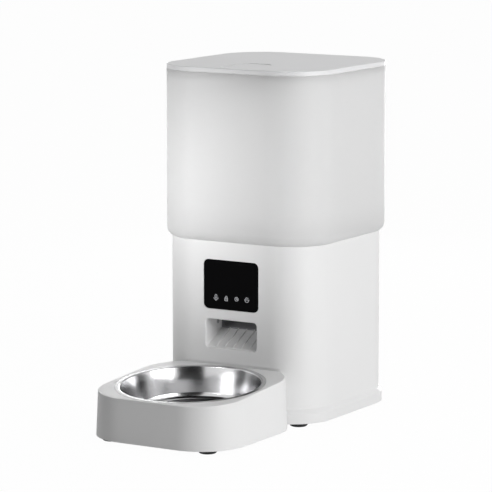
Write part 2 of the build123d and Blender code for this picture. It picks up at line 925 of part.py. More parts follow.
with BuildPart() as drive_shaft:
    with BuildSketch(level(gearbox_bottom + shaft_lift)):
        Circle(journal_radius)
    extrude(amount=output_gear_bottom - gearbox_bottom)
    with BuildSketch(level(output_gear_bottom - shaft_step)):
        Circle(shaft_radius)
    extrude(amount=shaft_top - output_gear_bottom + shaft_step)
    with BuildSketch(level(wheel_bottom - shaft_lift)):
        with Locations((shaft_radius + shaft_flat, 0)):
            Rectangle(2 * shaft_radius, 4 * shaft_radius)
    extrude(amount=agitator_top - wheel_bottom + shaft_lift, mode=Mode.SUBTRACT)
drive_shaft.part.label = "drive_shaft"
export_step(drive_shaft.part, "parts/drive_shaft.step")

with BuildPart() as shaft_bush:
    with BuildSketch(level(cup_floor_bottom)):
        Circle(bush_radius)
        Circle(shaft_radius + running_gap, mode=Mode.SUBTRACT)
    extrude(amount=cup_floor_top - cup_floor_bottom)
shaft_bush.part.label = "shaft_bush"
export_step(shaft_bush.part, "parts/shaft_bush.step")

with BuildPart() as shaft_seal:
    with BuildSketch(level(cup_floor_top)):
        Circle(seal_radius)
        Circle(shaft_radius + running_gap, mode=Mode.SUBTRACT)
    extrude(amount=seal_thick)
shaft_seal.part.label = "shaft_seal"
export_step(shaft_seal.part, "parts/shaft_seal.step")

# Gearbox: a long tub with four ears, screwed up under the cup
gearbox_middle = gearbox_length / 2
with BuildPart() as gearbox_housing:
    with BuildSketch(level(gearbox_bottom)):
        with Locations((0, gearbox_middle)):
            SlotCenterToCenter(gearbox_length, 2 * (gearbox_inner_radius + gearbox_wall), rotation=90)
        with Locations(*gearbox_ears):
            Circle(gearbox_ear_radius)
    extrude(amount=gearbox_rim - gearbox_bottom)
    with BuildSketch(level(gearbox_floor)):
        with Locations((0, gearbox_middle)):
            SlotCenterToCenter(gearbox_length, 2 * gearbox_inner_radius, rotation=90)
    extrude(amount=gearbox_rim - gearbox_floor, mode=Mode.SUBTRACT)
    with BuildSketch(level(gearbox_bottom)):
        with Locations((0, motor_y)):
            Circle(motor_radius + collar_wall + bore_gap)
    extrude(amount=collar_bottom - gearbox_bottom)
    with BuildSketch(level(gearbox_bottom)):
        with Locations((0, motor_y)):
            Circle(motor_radius + bore_gap)
    extrude(amount=collar_bottom - gearbox_bottom, mode=Mode.SUBTRACT)
    with BuildSketch(level(gearbox_bottom)):
        Circle(journal_radius + running_gap)
        with Locations((0, second_idler_y), (0, first_idler_y)):
            Circle(pin_radius + bore_gap)
        with Locations((0, motor_y)):
            Circle(boss_radius + bore_gap)
        with Locations(*gearbox_ears):
            Circle(screw_hole)
    extrude(amount=gearbox_rim - gearbox_bottom, mode=Mode.SUBTRACT)
gearbox_housing.part.label = "gearbox_housing"
export_step(gearbox_housing.part, "parts/gearbox_housing.step")

with BuildPart() as gearbox_cover:
    with BuildSketch(level(gearbox_rim)):
        with Locations((0, gearbox_middle)):
            SlotCenterToCenter(gearbox_length, 2 * (gearbox_inner_radius + gearbox_wall), rotation=90)
        with Locations(*gearbox_ears):
            Circle(gearbox_ear_radius)
    extrude(amount=cup_floor_bottom - gearbox_rim)
    with BuildSketch(level(gearbox_rim)):
        Circle(shaft_radius + running_gap)
        with Locations((0, second_idler_y), (0, first_idler_y)):
            Circle(pin_radius + bore_gap)
        with Locations(*gearbox_ears):
            Circle(screw_hole)
    extrude(amount=cup_floor_bottom - gearbox_rim, mode=Mode.SUBTRACT)
gearbox_cover.part.label = "gearbox_cover"
export_step(gearbox_cover.part, "parts/gearbox_cover.step")

with BuildPart() as gearbox_screws:
    with Locations(*[on_tower(x, y, gearbox_bottom) for x, y in gearbox_ears]):
        add(pan_screw(cup_floor_top - gearbox_bottom - shaft_lift), rotation=(180, 0, 0))
gearbox_screws.part.label = "gearbox_screws"
export_step(gearbox_screws.part, "parts/gearbox_screws.step")

# Gears: each pair has a tooth of the wheel in a gap of the pinion on the line between them
pinion_gap = 180 / pinion_teeth
with BuildPart() as output_gear:
    with BuildSketch(level(output_gear_bottom)):
        add(gear_face(wheel_teeth, 90))
        Circle(shaft_radius + bore_gap, mode=Mode.SUBTRACT)
    extrude(amount=output_gear_top - output_gear_bottom)
output_gear.part.label = "output_gear"
export_step(output_gear.part, "parts/output_gear.step")

with BuildPart() as second_idler_gear:
    with BuildSketch(level(gearbox_floor + idler_lift)):
        with Locations((0, second_idler_y)):
            Circle(idler_hub_radius)
    extrude(amount=second_wheel_bottom - gearbox_floor - idler_lift)
    with BuildSketch(level(second_wheel_bottom)):
        with Locations((0, second_idler_y)):
            add(gear_face(wheel_teeth, 90))
    extrude(amount=idler_wheel_height)
    with BuildSketch(level(second_pinion_bottom)):
        with Locations((0, second_idler_y)):
            add(gear_face(pinion_teeth, 270 + pinion_gap))
    extrude(amount=second_pinion_height)
    with BuildSketch(level(gearbox_floor)):
        with Locations((0, second_idler_y)):
            Circle(pin_radius + running_gap)
    extrude(amount=gearbox_rim - gearbox_floor, mode=Mode.SUBTRACT)
second_idler_gear.part.label = "second_idler_gear"
export_step(second_idler_gear.part, "parts/second_idler_gear.step")

with BuildPart() as first_idler_gear:
    with BuildSketch(level(first_wheel_bottom)):
        with Locations((0, first_idler_y)):
            add(gear_face(wheel_teeth, 90))
    extrude(amount=idler_wheel_height)
    with BuildSketch(level(first_pinion_bottom)):
        with Locations((0, first_idler_y)):
            add(gear_face(pinion_teeth, 270 + pinion_gap))
    extrude(amount=first_pinion_height)
    with BuildSketch(level(gearbox_rim - idler_lift)):
        with Locations((0, first_idler_y)):
            Circle(idler_hub_radius)
    extrude(amount=first_pinion_bottom + first_pinion_height - gearbox_rim + idler_lift)
    with BuildSketch(level(gearbox_floor)):
        with Locations((0, first_idler_y)):
            Circle(pin_radius + running_gap)
    extrude(amount=gearbox_rim - gearbox_floor, mode=Mode.SUBTRACT)
first_idler_gear.part.label = "first_idler_gear"
export_step(first_idler_gear.part, "parts/first_idler_gear.step")

with BuildPart() as idler_pins:
    with BuildSketch(level(gearbox_bottom)):
        with Locations((0, second_idler_y), (0, first_idler_y)):
            Circle(pin_radius)
    extrude(amount=cup_floor_bottom - gearbox_bottom)
idler_pins.part.label = "idler_pins"
export_step(idler_pins.part, "parts/idler_pins.step")

# Motor: can, field magnets, end cap and terminals stand still, armature, shaft and pinion turn
with BuildPart() as motor_can:
    with BuildSketch(level(motor_bottom)):
        with Locations((0, motor_y)):
            Circle(motor_radius)
    extrude(amount=gearbox_bottom - motor_bottom)
    with BuildSketch(level(gearbox_bottom)):
        with Locations((0, motor_y)):
            Circle(boss_radius)
    extrude(amount=gearbox_floor - gearbox_bottom)
    with BuildSketch(level(motor_bottom)):
        with Locations((0, motor_y)):
            Circle(motor_radius - motor_wall)
    extrude(amount=gearbox_bottom - motor_bottom - motor_wall, mode=Mode.SUBTRACT)
    with BuildSketch(level(motor_bottom)):
        with Locations((0, motor_y)):
            Circle(motor_shaft_radius + running_gap)
    extrude(amount=gearbox_floor - motor_bottom, mode=Mode.SUBTRACT)
motor_can.part.label = "motor_can"
export_step(motor_can.part, "parts/motor_can.step")

with BuildPart() as motor_magnets:
    with BuildSketch(Plane(origin=on_tower(0, motor_y, magnet_bottom))):
        add(sector_face(magnet_inner, motor_radius - motor_wall - bore_gap, magnet_half_angle))
        mirror(about=Plane.XZ)
    extrude(amount=magnet_height)
motor_magnets.part.label = "motor_magnets"
export_step(motor_magnets.part, "parts/motor_magnets.step")

with BuildPart() as motor_end_cap:
    with BuildSketch(level(motor_bottom)):
        with Locations((0, motor_y)):
            Circle(motor_radius)
    extrude(amount=-end_cap_thick)
    with BuildSketch(level(motor_bottom)):
        with Locations((0, motor_y)):
            Circle(motor_shaft_radius + running_gap)
        with Locations((-terminal_x, motor_y), (terminal_x, motor_y)):
            Rectangle(terminal_size[0] + terminal_play, terminal_size[1] + terminal_play)
    extrude(amount=-end_cap_thick, mode=Mode.SUBTRACT)
motor_end_cap.part.label = "motor_end_cap"
export_step(motor_end_cap.part, "parts/motor_end_cap.step")

with BuildPart() as motor_terminals:
    with BuildSketch(level(motor_bottom)):
        with Locations((-terminal_x, motor_y), (terminal_x, motor_y)):
            Rectangle(*terminal_size)
    extrude(amount=-terminal_length)
motor_terminals.part.label = "motor_terminals"
export_step(motor_terminals.part, "parts/motor_terminals.step")

with BuildPart() as motor_shaft:
    with BuildSketch(level(motor_shaft_bottom)):
        with Locations((0, motor_y)):
            Circle(motor_shaft_radius)
    extrude(amount=motor_shaft_top - motor_shaft_bottom)
motor_shaft.part.label = "motor_shaft"
export_step(motor_shaft.part, "parts/motor_shaft.step")

with BuildPart() as motor_armature:
    with BuildSketch(Plane(origin=on_tower(0, motor_y, armature_bottom))):
        Circle(armature_radius)
        with PolarLocations(armature_radius - armature_slot[0] / 3, 3):
            Rectangle(*armature_slot, mode=Mode.SUBTRACT)
    extrude(amount=armature_height)
    with BuildSketch(Plane(origin=on_tower(0, motor_y, commutator_bottom))):
        Circle(commutator_radius)
    extrude(amount=armature_bottom - commutator_bottom)
    with BuildSketch(Plane(origin=on_tower(0, motor_y, commutator_bottom))):
        Circle(motor_shaft_radius + bore_gap)
    extrude(amount=armature_bottom + armature_height - commutator_bottom, mode=Mode.SUBTRACT)
motor_armature.part.label = "motor_armature"
export_step(motor_armature.part, "parts/motor_armature.step")

with BuildPart() as motor_pinion:
    with BuildSketch(level(first_wheel_bottom)):
        with Locations((0, motor_y)):
            add(gear_face(pinion_teeth, 270 + pinion_gap))
            Circle(motor_shaft_radius + bore_gap, mode=Mode.SUBTRACT)
    extrude(amount=motor_shaft_top - first_wheel_bottom)
motor_pinion.part.label = "motor_pinion"
export_step(motor_pinion.part, "parts/motor_pinion.step")

# Main board on the left wall, with its components
board_face_x = -base_width / 2 + base_wall + board_post_length
board_plane_left = Plane.YZ.offset(board_face_x)
with BuildPart() as main_board:
    with BuildSketch(board_plane_left):
        with Locations((tower_y + board_y, board_level)):
            RectangleRounded(*board_size, board_corner)
            with GridLocations(board_hole_y, board_hole_z, 2, 2):
                Circle(screw_hole + screw_play, mode=Mode.SUBTRACT)
    extrude(amount=board_thick)
main_board.part.label = "main_board"
export_step(main_board.part, "parts/main_board.step")

with BuildPart() as board_components:
    with BuildSketch(board_plane_left.offset(board_thick)):
        with Locations((tower_y, board_level)):
            Rectangle(chip_size, chip_size)
        with Locations((tower_y + speaker_plug_y, speaker_plug_level)):
            Rectangle(*plug_size)
    extrude(amount=low_plug)
    with BuildSketch(board_plane_left.offset(board_thick)):
        with Locations((tower_y + ribbon_plug_y, ribbon_level)):
            Rectangle(plug_size[1], ribbon_width + 2 * socket_play)
    extrude(amount=ribbon_plug)
    with BuildSketch(board_plane_left.offset(board_thick)):
        with Locations((tower_y + ribbon_plug_y, board_level)):
            with GridLocations(1, capacitor_pitch, 1, 2):
                Circle(capacitor_radius)
    extrude(amount=capacitor_height)
    with BuildSketch(board_plane_left.offset(board_thick)):
        with Locations((tower_y + plug_row_y, plug_level)):
            with GridLocations(plug_pitch, 1, 3, 1):
                Rectangle(*plug_size)
    extrude(amount=tall_plug)
board_components.part.label = "board_components"
export_step(board_components.part, "parts/board_components.step")

with BuildPart() as board_screws:
    for screw_y in (-board_hole_y / 2, board_hole_y / 2):
        for screw_z in (-board_hole_z / 2, board_hole_z / 2):
            screw_spot = (board_face_x + board_thick, tower_y + board_y + screw_y, board_level + screw_z)
            with Locations(screw_spot):
                add(pan_screw(board_screw_length), rotation=(0, 90, 0))
board_screws.part.label = "board_screws"
export_step(board_screws.part, "parts/board_screws.step")

# Speaker behind the grille holes in the back wall
with BuildPart() as speaker:
    with BuildSketch(back_plane.offset(-base_wall - speaker_gap)):
        with Locations((0, lens_level)):
            Circle(speaker_radius)
            Circle(speaker_radius - speaker_rim, mode=Mode.SUBTRACT)
    extrude(amount=-speaker_rim)
    with BuildSketch(back_plane.offset(-base_wall - speaker_gap - speaker_rim)):
        with Locations((0, lens_level)):
            Circle(speaker_radius)
    extrude(amount=-speaker_rim)
    with BuildSketch(back_plane.offset(-base_wall - speaker_gap - 2 * speaker_rim)):
        with Locations((0, lens_level)):
            Circle(speaker_magnet_radius)
    extrude(amount=-speaker_magnet_height)
speaker.part.label = "speaker"
export_step(speaker.part, "parts/speaker.step")

# Power inlet on a small board inside the back wall
with BuildPart() as power_board:
    with BuildSketch(level(power_board_level)):
        with Locations((socket_x, base_depth / 2 - base_wall - power_board_size[1] / 2 - socket_wall)):
            Rectangle(*power_board_size)
    extrude(amount=board_thick)
power_board.part.label = "power_board"
export_step(power_board.part, "parts/power_board.step")

socket_foot_y = base_depth / 2 - socket_setback - socket_length + socket_foot[1] / 2
with BuildPart() as power_socket:
    with BuildSketch(back_plane.offset(-socket_setback)):
        with Locations((-socket_x, socket_level)):
            SlotOverall(socket_width, socket_height)
    extrude(amount=-socket_length)
    with BuildSketch(back_plane.offset(-socket_setback)):
        with Locations((-socket_x, socket_level)):
            SlotOverall(socket_width - 2 * socket_wall, socket_height - 2 * socket_wall)
            Rectangle(*socket_tongue, mode=Mode.SUBTRACT)
    extrude(amount=-socket_mouth, mode=Mode.SUBTRACT)
    with BuildSketch(Plane(origin=on_tower(socket_x, socket_foot_y, power_board_level + board_thick))):
        Rectangle(*socket_foot)
    extrude(amount=socket_foot_height)
power_socket.part.label = "power_socket"
export_step(power_socket.part, "parts/power_socket.step")

# Battery bay: box, leaf contacts and a snap-in door
with BuildPart() as battery_box:
    with BuildSketch(level(cover_top)):
        with Locations((0, bay_y)):
            RectangleRounded(bay_width + 4 * bay_wall, bay_depth + 4 * bay_wall, bay_corner)
    extrude(amount=bay_flange)
    with BuildSketch(level(cover_top)):
        with Locations((0, bay_y)):
            RectangleRounded(bay_width + 2 * bay_wall, bay_depth + 2 * bay_wall, bay_corner)
    extrude(amount=bay_top - cover_top)
    with BuildSketch(level(cover_top)):
        with Locations((0, bay_y)):
            Rectangle(bay_width, bay_depth)
    extrude(amount=bay_top - bay_wall - cover_top, mode=Mode.SUBTRACT)
    with BuildSketch(level(bay_top - bay_wall)):
        with Locations((-cell_pitch / 2, bay_y), (cell_pitch / 2, bay_y)):
            Rectangle(cell_rib[0], bay_depth)
    extrude(amount=-cell_rib[1])
battery_box.part.label = "battery_box"
export_step(battery_box.part, "parts/battery_box.step")

contact_middle = (contact_low + contact_high) / 2
with BuildPart() as battery_contacts:
    for side in (-1, 1):
        wall_y = tower_y + bay_y + side * (bay_depth / 2 - 0.1)
        with BuildSketch(Plane.YZ):
            with BuildLine():
                Polyline(
                    (wall_y, contact_low),
                    (wall_y, contact_high),
                    (wall_y - side * contact_reach, contact_middle),
                    (wall_y - side * (contact_reach - contact_thick), contact_middle - contact_thick),
                    (wall_y - side * contact_thick, contact_high - contact_reach),
                    (wall_y - side * contact_thick, contact_low),
                    close=True,
                )
            make_face()
        extrude(amount=contact_width / 2, both=True)
    middle_pair = battery_contacts.part
    with Locations((-cell_pitch, 0, 0), (cell_pitch, 0, 0)):
        add(middle_pair)
battery_contacts.part.label = "battery_contacts"
export_step(battery_contacts.part, "parts/battery_contacts.step")

with BuildPart() as battery_door:
    with BuildSketch(level(foot_height)):
        with Locations((0, bay_y)):
            RectangleRounded(
                bay_width + 2 * (bay_wall - door_play), bay_depth + 2 * (bay_wall - door_play), bay_corner
            )
    extrude(amount=door_thick)
    with BuildSketch(level(foot_height)):
        with Locations((0, bay_y - bay_depth / 2 + 5.0)):
            with GridLocations(1, door_grip_pitch, 1, 3):
                SlotOverall(*door_grip)
    extrude(amount=door_grip_depth, mode=Mode.SUBTRACT)
battery_door.part.label = "battery_door"
export_step(battery_door.part, "parts/battery_door.step")

# Leads inside the base, and the flat ribbon from the touch panel to the main board
lead_end_x = board_face_x + board_thick + tall_plug
motor_lead_routes = [
    [
        on_tower(x, motor_y, motor_bottom - terminal_length),
        on_tower(x, motor_y, 36.0 + gap),
        on_tower(-40.0, 50.0 + gap, 40.0 + gap),
        on_tower(-56.0, 22.7 + gap, plug_level - 1.3 + gap),
        on_tower(lead_end_x, 22.7 + gap, plug_level - 1.3 + gap),
    ]
    for x, gap in ((-terminal_x, 0.0), (terminal_x, lead_gap))
]
with BuildPart() as motor_leads:
    for route_points in motor_lead_routes:
        add(lead(route_points, lead_bend, lead_radius))
motor_leads.part.label = "motor_leads"
export_step(motor_leads.part, "parts/motor_leads.step")

with BuildPart() as battery_cable:
    battery_route = [
        on_tower(-bay_width / 2 - bay_wall, -10.0, 30.0),
        on_tower(-64.0, -10.0, 30.0),
        on_tower(-60.0, -4.0, 50.0),
        on_tower(-57.0, -4.0, plug_level),
        on_tower(lead_end_x, -4.0, plug_level),
    ]
    add(lead(battery_route, lead_bend, cable_radius))
battery_cable.part.label = "battery_cable"
export_step(battery_cable.part, "parts/battery_cable.step")

speaker_back = base_depth / 2 - base_wall - speaker_gap - 2 * speaker_rim - speaker_magnet_height
with BuildPart() as speaker_cable:
    speaker_route = [
        on_tower(-6.0, speaker_back, lens_level - 2.0),
        on_tower(-6.0, speaker_back - 8.0, lens_level - 2.0),
        on_tower(-58.0, speaker_back - 10.0, lens_level - 2.0),
        on_tower(-60.0, 36.0, 126.0),
        on_tower(-60.0, speaker_plug_y, speaker_plug_level),
        on_tower(board_face_x + board_thick + low_plug, speaker_plug_y, speaker_plug_level),
    ]
    add(lead(speaker_route, lead_bend, cable_radius))
speaker_cable.part.label = "speaker_cable"
export_step(speaker_cable.part, "parts/speaker_cable.step")

with BuildPart() as power_cable:
    power_route = [
        on_tower(26.0, base_depth / 2 - base_wall - 17.5, 20.8),
        on_tower(26.0, 60.0, 20.8),
        on_tower(-40.0, 46.0, 24.0),
        on_tower(-62.0, 22.0, 34.0),
        on_tower(-60.0, 10.0, 52.0),
        on_tower(-57.0, 10.0, plug_level),
        on_tower(lead_end_x, 10.0, plug_level),
    ]
    add(lead(power_route, lead_bend, cable_radius))
power_cable.part.label = "power_cable"
export_step(power_cable.part, "parts/power_cable.step")

ribbon_start = -base_depth / 2 + base_wall + 0.1 + board_thick
with BuildPart() as display_ribbon:
    with BuildLine() as ribbon_route:
        FilletPolyline(
            on_tower(-20.0, ribbon_start, ribbon_level),
            on_tower(-20.0, ribbon_start + 8.0, ribbon_level),
            on_tower(-54.0, ribbon_start + 14.0, ribbon_level),
            on_tower(-60.0, ribbon_plug_y, ribbon_level),
            on_tower(board_face_x + board_thick + ribbon_plug, ribbon_plug_y, ribbon_level),
            radius=4.0,
        )
    with BuildSketch(Plane(origin=ribbon_route.line @ 0, x_dir=(0, 0, 1), z_dir=ribbon_route.line % 0)):
        Rectangle(ribbon_width, 0.5)
    sweep(path=ribbon_route.line)
display_ribbon.part.label = "display_ribbon"
export_step(display_ribbon.part, "parts/display_ribbon.step")

# Tank: outer shell with a drawn-in lower edge, and a funnel down to the cup
round_drop = (tank_round**2 - (tank_round - tank_inset) ** 2) ** 0.5
round_start = seam_height - (tank_round - round_drop)
with BuildPart() as hopper_tank:
    with BuildSketch(level(round_start)):
        RectangleRounded(tank_width, tank_depth, tank_corner)
    extrude(amount=lid_seam_height - round_start)
    fillet(hopper_tank.edges().group_by(Axis.Z)[0], tank_round)
    fillet(hopper_tank.edges().group_by(Axis.Z)[-1], seam_edge)
    with BuildSketch(level(round_start)):
        RectangleRounded(tank_width, tank_depth, tank_corner)
    extrude(amount=seam_height - round_start, mode=Mode.SUBTRACT)
    with BuildSketch(level(seam_height + tank_round)):
        RectangleRounded(tank_width - 2 * tank_wall, tank_depth - 2 * tank_wall, tank_corner - tank_wall)
    extrude(amount=lid_seam_height - seam_height - tank_round, mode=Mode.SUBTRACT)
    with BuildSketch(level(seam_height)):
        RectangleRounded(base_width - 2 * tank_wall, base_depth - 2 * tank_wall, base_corner - tank_wall)
    with BuildSketch(level(seam_height + tank_round)):
        RectangleRounded(tank_width - 2 * tank_wall, tank_depth - 2 * tank_wall, tank_corner - tank_wall)
    loft(ruled=True, mode=Mode.SUBTRACT)
    with BuildSketch(level(funnel_neck)):
        RectangleRounded(neck_width, neck_width, neck_corner)
    with BuildSketch(level(funnel_top)):
        RectangleRounded(tank_width - tank_wall, tank_depth - tank_wall, tank_corner - tank_wall / 2)
    loft(ruled=True)
    with BuildSketch(level(funnel_top)):
        RectangleRounded(tank_width - tank_wall, tank_depth - tank_wall, tank_corner - tank_wall / 2)
    extrude(amount=funnel_sheet)
    with BuildSketch(level(neck_bottom)):
        RectangleRounded(neck_width, neck_width, neck_corner)
    extrude(amount=funnel_neck - neck_bottom)
    with BuildSketch(level(funnel_neck + funnel_sheet)):
        RectangleRounded(
            neck_width - 2 * neck_wall, neck_width - 2 * neck_wall, neck_corner - neck_wall
        )
    with BuildSketch(level(funnel_top + funnel_sheet)):
        RectangleRounded(tank_width - 2 * tank_wall, tank_depth - 2 * tank_wall, tank_corner - tank_wall)
    loft(ruled=True, mode=Mode.SUBTRACT)
    with BuildSketch(level(neck_bottom)):
        RectangleRounded(
            neck_width - 2 * neck_wall, neck_width - 2 * neck_wall, neck_corner - neck_wall
        )
    extrude(amount=funnel_neck + funnel_sheet - neck_bottom, mode=Mode.SUBTRACT)
hopper_tank.part.label = "hopper_tank"
export_step(hopper_tank.part, "parts/hopper_tank.step")

# Lid: flat plate with a finger scoop, a lip inside the tank and a holder for drying agent
lip_inset = tank_wall + lip_gap
with BuildPart() as lid:
    with BuildSketch(level(lid_seam_height)):
        RectangleRounded(tank_width, tank_depth, tank_corner)
    extrude(amount=top_height - lid_seam_height)
    fillet(lid.edges().group_by(Axis.Z)[-1], lid_edge)
    with BuildSketch(level(lid_seam_height)):
        RectangleRounded(
            tank_width - 2 * lip_inset - 2 * lip_wall,
            tank_depth - 2 * lip_inset - 2 * lip_wall,
            tank_corner - lip_inset - lip_wall,
        )
    extrude(amount=top_height - lid_seam_height - lid_plate, mode=Mode.SUBTRACT)
    with BuildSketch(level(lid_seam_height)):
        RectangleRounded(tank_width - 2 * lip_inset, tank_depth - 2 * lip_inset, tank_corner - lip_inset)
        RectangleRounded(
            tank_width - 2 * lip_inset - 2 * lip_wall,
            tank_depth - 2 * lip_inset - 2 * lip_wall,
            tank_corner - lip_inset - lip_wall,
            mode=Mode.SUBTRACT,
        )
    extrude(amount=-lip_depth)
    with BuildSketch(level(lid_seam_height - seal_drop)):
        RectangleRounded(tank_width, tank_depth, tank_corner)
        RectangleRounded(
            tank_width - 2 * lip_inset - 2 * seal_depth,
            tank_depth - 2 * lip_inset - 2 * seal_depth,
            tank_corner - lip_inset - seal_depth,
            mode=Mode.SUBTRACT,
        )
    extrude(amount=-seal_height, mode=Mode.SUBTRACT)
    with BuildSketch(level(top_height)):
        with Locations((0, -tank_depth / 2 + scoop_front + scoop_length / 2)):
            RectangleRounded(scoop_width, scoop_length, scoop_corner)
    extrude(amount=-scoop_depth, mode=Mode.SUBTRACT)
    with BuildSketch(holder_level(top_height - lid_plate)):
        Circle(holder_radius)
        Circle(holder_radius - holder_wall, mode=Mode.SUBTRACT)
    extrude(amount=-holder_depth)
    with BuildSketch(holder_level(top_height - lid_plate - holder_depth + holder_wall)):
        with PolarLocations(holder_radius, 2):
            Rectangle(*lug_size)
    extrude(amount=lug_height)
lid.part.label = "lid"
export_step(lid.part, "parts/lid.step")

with BuildPart() as lid_seal:
    with BuildSketch(level(lid_seam_height - seal_drop - seal_play)):
        RectangleRounded(
            tank_width - 2 * (tank_wall + seal_gap),
            tank_depth - 2 * (tank_wall + seal_gap),
            tank_corner - tank_wall - seal_gap,
        )
        RectangleRounded(
            tank_width - 2 * (lip_inset + seal_depth - seal_fit),
            tank_depth - 2 * (lip_inset + seal_depth - seal_fit),
            tank_corner - lip_inset - seal_depth + seal_fit,
            mode=Mode.SUBTRACT,
        )
    extrude(amount=-seal_height + 2 * seal_play)
lid_seal.part.label = "lid_seal"
export_step(lid_seal.part, "parts/lid_seal.step")

# Drying-agent cap: slotted floor and a skirt with two bayonet slots round the lid's holder
cap_inner = holder_radius + cap_gap
cap_bottom = top_height - lid_plate - holder_depth - cap_gap
with BuildPart() as desiccant_cap:
    with BuildSketch(holder_level(cap_bottom)):
        Circle(cap_inner + cap_wall)
    extrude(amount=cap_skirt)
    with BuildSketch(holder_level(cap_bottom)):
        Circle(cap_inner + cap_wall)
    extrude(amount=-cap_wall)
    with BuildSketch(holder_level(cap_bottom)):
        Circle(cap_inner)
    extrude(amount=cap_skirt, mode=Mode.SUBTRACT)
    with BuildSketch(holder_level(cap_bottom - cap_wall)):
        with GridLocations(1, vent_pitch, 1, vent_count):
            SlotOverall(*vent_size)
    extrude(amount=cap_wall, mode=Mode.SUBTRACT)
    with BuildSketch(holder_level(cap_bottom + cap_gap + holder_wall - bayonet_play)):
        for slot_side in (90, -90):
            bayonet_slot = sector_face(holder_radius, cap_inner + 2 * cap_wall, bayonet_half_angle)
            add(bayonet_slot, rotation=slot_side + bayonet_turn)
    extrude(amount=lug_height + 2 * bayonet_play, mode=Mode.SUBTRACT)
desiccant_cap.part.label = "desiccant_cap"
export_step(desiccant_cap.part, "parts/desiccant_cap.step")

# Tray: drafted shell, sloping top with the bowl's seat, tongue into the base
tray_back_y = front_y - tray_gap
tray_top_plane = Plane(
    origin=(0, tower_y - tray_reach, tray_front_height), x_dir=(1, 0, 0), z_dir=tilt_up
)
bowl_y = tower_y - bowl_offset
bowl_centre = Vector(0, bowl_y, tray_height(bowl_y))
seat_plane = Plane(origin=bowl_centre, x_dir=(1, 0, 0), z_dir=tilt_up)
with BuildPart() as tray_hollow:
    with BuildSketch(Plane(origin=(0, tray_y, foot_height))):
        RectangleRounded(tray_width - 2 * tray_wall, tray_depth - 2 * tray_wall, tray_corner - tray_wall)
    extrude(amount=tray_rise, taper=tray_draft)
    split(bisect_by=tray_top_plane.offset(-tray_plate), keep=Keep.BOTTOM)
    split(bisect_by=Plane.XZ.offset(-tray_back_y + tray_wall), keep=Keep.TOP)

with BuildPart() as bowl_tray:
    with BuildSketch(Plane(origin=(0, tray_y, foot_height))):
        RectangleRounded(tray_width, tray_depth, tray_corner)
    extrude(amount=tray_rise, taper=tray_draft)
    split(bisect_by=tray_top_plane, keep=Keep.BOTTOM)
    split(bisect_by=Plane.XZ.offset(-tray_back_y), keep=Keep.TOP)
    fillet(bowl_tray.faces().sort_by(Axis.Z)[-1].edges(), tray_edge)
    add(tray_hollow.part, mode=Mode.SUBTRACT)
    with BuildSketch(Plane(origin=(0, tray_back_y, foot_height))):
        Rectangle(tray_width, 2 * (skirt_proud + slot_play))
    extrude(amount=tray_notch_height - foot_height, mode=Mode.SUBTRACT)
    with BuildSketch(seat_plane):
        Circle(seat_hole_radius)
    extrude(amount=-2 * tray_plate, mode=Mode.SUBTRACT)
    with BuildSketch(seat_plane):
        Circle(seat_radius)
    extrude(amount=-seat_depth, mode=Mode.SUBTRACT)
    with BuildSketch(Plane(origin=(0, tray_back_y + (tongue_length - tray_wall) / 2, tongue_level))):
        Rectangle(tongue_width, tongue_length + tray_wall)
    extrude(amount=tongue_height)
    with BuildSketch(Plane(origin=(0, 0, foot_height))):
        with Locations(
            (-tray_foot_x, tower_y - tray_foot_front),
            (tray_foot_x, tower_y - tray_foot_front),
            (-tray_foot_x, tower_y - tray_foot_back),
            (tray_foot_x, tower_y - tray_foot_back),
        ):
            Circle(foot_radius + foot_pad)
    extrude(amount=tray_wall)
    with BuildSketch(Plane(origin=(0, 0, foot_height))):
        with Locations((0, tower_y - tray_foot_front)):
            Rectangle(tray_front_bar, tray_bar_width)
        with Locations((0, tower_y - tray_foot_back)):
            Rectangle(tray_back_bar, tray_bar_width)
    extrude(amount=tray_wall)
bowl_tray.part.label = "bowl_tray"
export_step(bowl_tray.part, "parts/bowl_tray.step")

with BuildPart() as tray_feet:
    with Locations(
        (-tray_foot_x, tower_y - tray_foot_front, 0),
        (tray_foot_x, tower_y - tray_foot_front, 0),
        (-tray_foot_x, tower_y - tray_foot_back, 0),
        (tray_foot_x, tower_y - tray_foot_back, 0),
    ):
        add(rubber_foot())
tray_feet.part.label = "tray_feet"
export_step(tray_feet.part, "parts/tray_feet.step")

# Bowl: spun steel sheet with a flat rim that rests in the tray's seat
rim_level = bowl_sheet - seat_depth
bowl_plane = Plane(origin=bowl_centre + tilt_up * rim_level, x_dir=(1, 0, 0), z_dir=tilt_front)
with BuildPart() as steel_bowl:
    with BuildSketch(bowl_plane):
        with BuildLine():
            bowl_line = FilletPolyline(
                (0, -bowl_depth),
                (bowl_floor_radius, -bowl_depth),
                (bowl_wall_radius, 0),
                (bowl_rim_radius, 0),
                radius=[bowl_floor_round, bowl_lip_round],
            )
            offset(bowl_line, amount=bowl_sheet, side=Side.RIGHT)
        make_face()
    revolve(axis=Axis(bowl_plane.origin, tilt_up))
steel_bowl.part.label = "steel_bowl"
export_step(steel_bowl.part, "parts/steel_bowl.step")
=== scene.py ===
# %% [markdown]
# # Automatic pet feeder
# The solid model of the feeder arrives as a fixed frame: every moulded piece, screw and gear is already
# in place, in metres. This lesson dresses it. First comes the camera, then the studio, then one finish
# after another, and last the small printed signs on the touch panel.

# %% Load the frame
import json
from math import cos, pi, radians, sin

import bmesh
import bpy
from mathutils import Matrix, Vector


